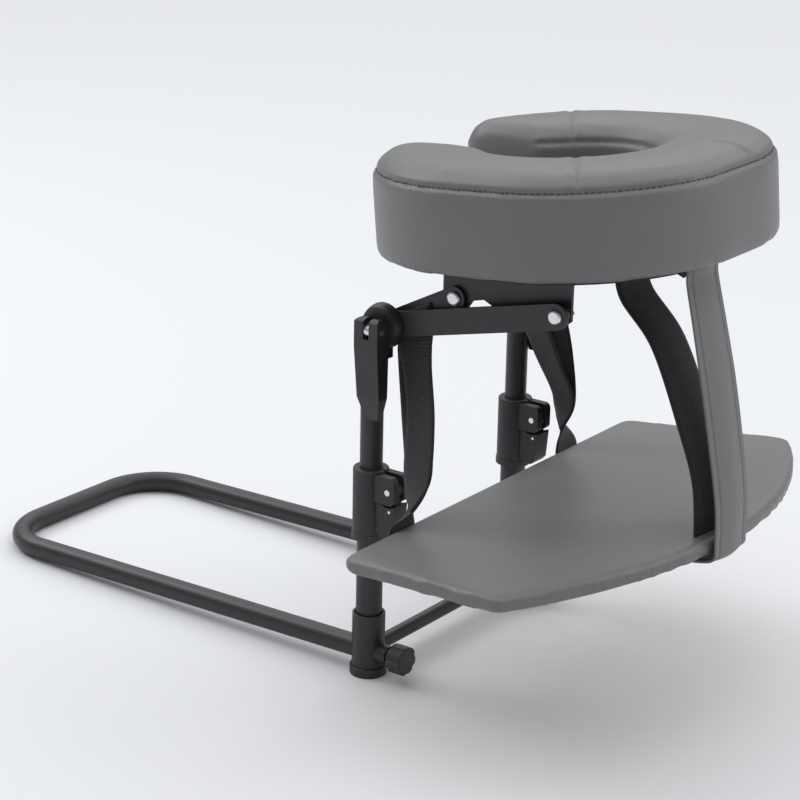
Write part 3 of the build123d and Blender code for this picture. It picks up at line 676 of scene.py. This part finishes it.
def strap_loop(side, top_x, hang_x, inside, foot_y, lean, name):
    """The outer layer, over the strut, and the inner layer, from foot to foot."""
    s = -1 if side == "left" else 1
    foot_x = SHELF_REAR.x - 0.0035
    foot_z = 0.1535
    top = POST_X + top_x
    crest = 0.3102 + (top_x - 0.0115) * math.tan(math.radians(27.7)) + 0.0035
    out = s * (STRUT_Y + 0.0036)
    inn = s * (STRUT_Y - inside)
    low_x = POST_X + hang_x
    stations = [
        (foot_x + 0.002, foot_y, foot_z - 0.022, -88, 0),
        (foot_x, foot_y, foot_z, -84, 0),
        (low_x - 0.003, foot_y - s * 0.001, foot_z + 0.018, lean - 30, 0),
        (low_x + 0.001, foot_y * 0.97, foot_z + 0.045, lean - 2, 0),
        (low_x - 0.002, out + (foot_y - out) * 0.55, 0.245, lean, 0),
        (top + 0.006, out + (foot_y - out) * 0.12, 0.288, lean + 6, 0),
        (top + 0.002, out, crest - 0.020, 0, 27.7),
        (top + 0.001, out * 0.995, crest - 0.002, 0, 27.7),
        (top + 0.001, (out + inn) / 2, crest + 0.0008, 0, 27.7),
        (top, inn * 1.005, crest - 0.002, 0, 27.7),
        (top - 0.001, inn, crest - 0.020, 0, 27.7),
        (top - 0.001, inn + (foot_y - inn) * 0.10, 0.284, lean * 0.5, 0),
        (low_x - 0.008, inn + (foot_y - inn) * 0.55, 0.236, lean + 4, 0),
        (low_x + 0.001, foot_y * 0.96, foot_z + 0.045, lean - 2, 0),
        (low_x - 0.005, foot_y - s * 0.001, foot_z + 0.018, lean - 30, 0),
    ]
    return band(name, stations, 0.036, 0.0014, webbing, "side_straps", squares=(10, 280))


left_loop = strap_loop("left", 0.0355, 0.0570, 0.0036, -0.125, -17, "strap_loop_left")
right_loop = strap_loop("right", 0.0290, 0.0440, 0.0200, 0.118, -22, "strap_loop_right")
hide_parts("side_strap_left")
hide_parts("side_strap_right")

# %% [markdown]
# The front strap is vinyl like the cushion, padded down its middle and stitched along
# both edges. It wraps the shelf's front edge, leans back as it rises, and goes over the
# platform's front band under the cushion. Its black hook-and-loop end hangs back down.

# %% Front strap
board_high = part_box("platform_plate")[1]
strap_low, strap_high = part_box("front_strap")
STRAP_Y = (strap_low.y + strap_high.y) / 2 - 0.005
FRONT_X = shelf_high.x
EDGE_Z = shelf_high.z
RIM_X = board_high.x
RIM_Z = board_high.z
front_stations = [
    (FRONT_X - 0.030, STRAP_Y, EDGE_Z - 0.0225, 90, 0),
    (FRONT_X - 0.010, STRAP_Y, EDGE_Z - 0.0195, 90, 0),
    (FRONT_X + 0.0012, STRAP_Y, EDGE_Z - 0.0150, 90, 0),
    (FRONT_X + 0.0022, STRAP_Y, EDGE_Z - 0.004, 90, 0),
    (FRONT_X + 0.0005, STRAP_Y, EDGE_Z + 0.030, 89, 0),
    (FRONT_X - 0.0085, STRAP_Y, EDGE_Z + 0.080, 88, 0),
    (FRONT_X - 0.0180, STRAP_Y, EDGE_Z + 0.125, 88, 0),
    (FRONT_X - 0.0290, STRAP_Y, EDGE_Z + 0.170, 90, 0),
    (RIM_X + 0.0028, STRAP_Y, RIM_Z - 0.014, 91, 0),
    (RIM_X + 0.0012, STRAP_Y, RIM_Z - 0.0008, 91, 0),
    (RIM_X - 0.010, STRAP_Y, RIM_Z + 0.0006, 90, 0),
    (RIM_X - 0.024, STRAP_Y, RIM_Z - 0.0008, 90, 0),
]
front_band = band(
    "front_strap_cover", front_stations, 0.048, 0.0016, vinyl, "front_strap",
    bulge=0.0022, squares=(56, 150),
)
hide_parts("front_strap")

tail_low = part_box("hook_tail")[0]
TAIL_TOP_X = tail_low.x + 0.014
tail_stations = [
    (RIM_X - 0.020, STRAP_Y, RIM_Z - 0.0004, 90, 0),
    (TAIL_TOP_X + 0.012, STRAP_Y, RIM_Z - 0.0052, 90, 0),
    (TAIL_TOP_X, STRAP_Y, RIM_Z - 0.0100, 90, 0),
    (TAIL_TOP_X + 0.004, STRAP_Y, RIM_Z - 0.035, 90, 0),
    (POST_X + 0.222, STRAP_Y, 0.318, 89, 0),
    (POST_X + 0.251, STRAP_Y, 0.257, 86, 0),
    (POST_X + 0.267, STRAP_Y, 0.215, 84, 0),
    (POST_X + 0.272, STRAP_Y, 0.172, 82, 0),
]
hook_end = band(
    "hook_strap_end", tail_stations, 0.046, 0.0022, webbing, "front_strap",
    squares=(12, 120),
)
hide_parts("hook_tail")
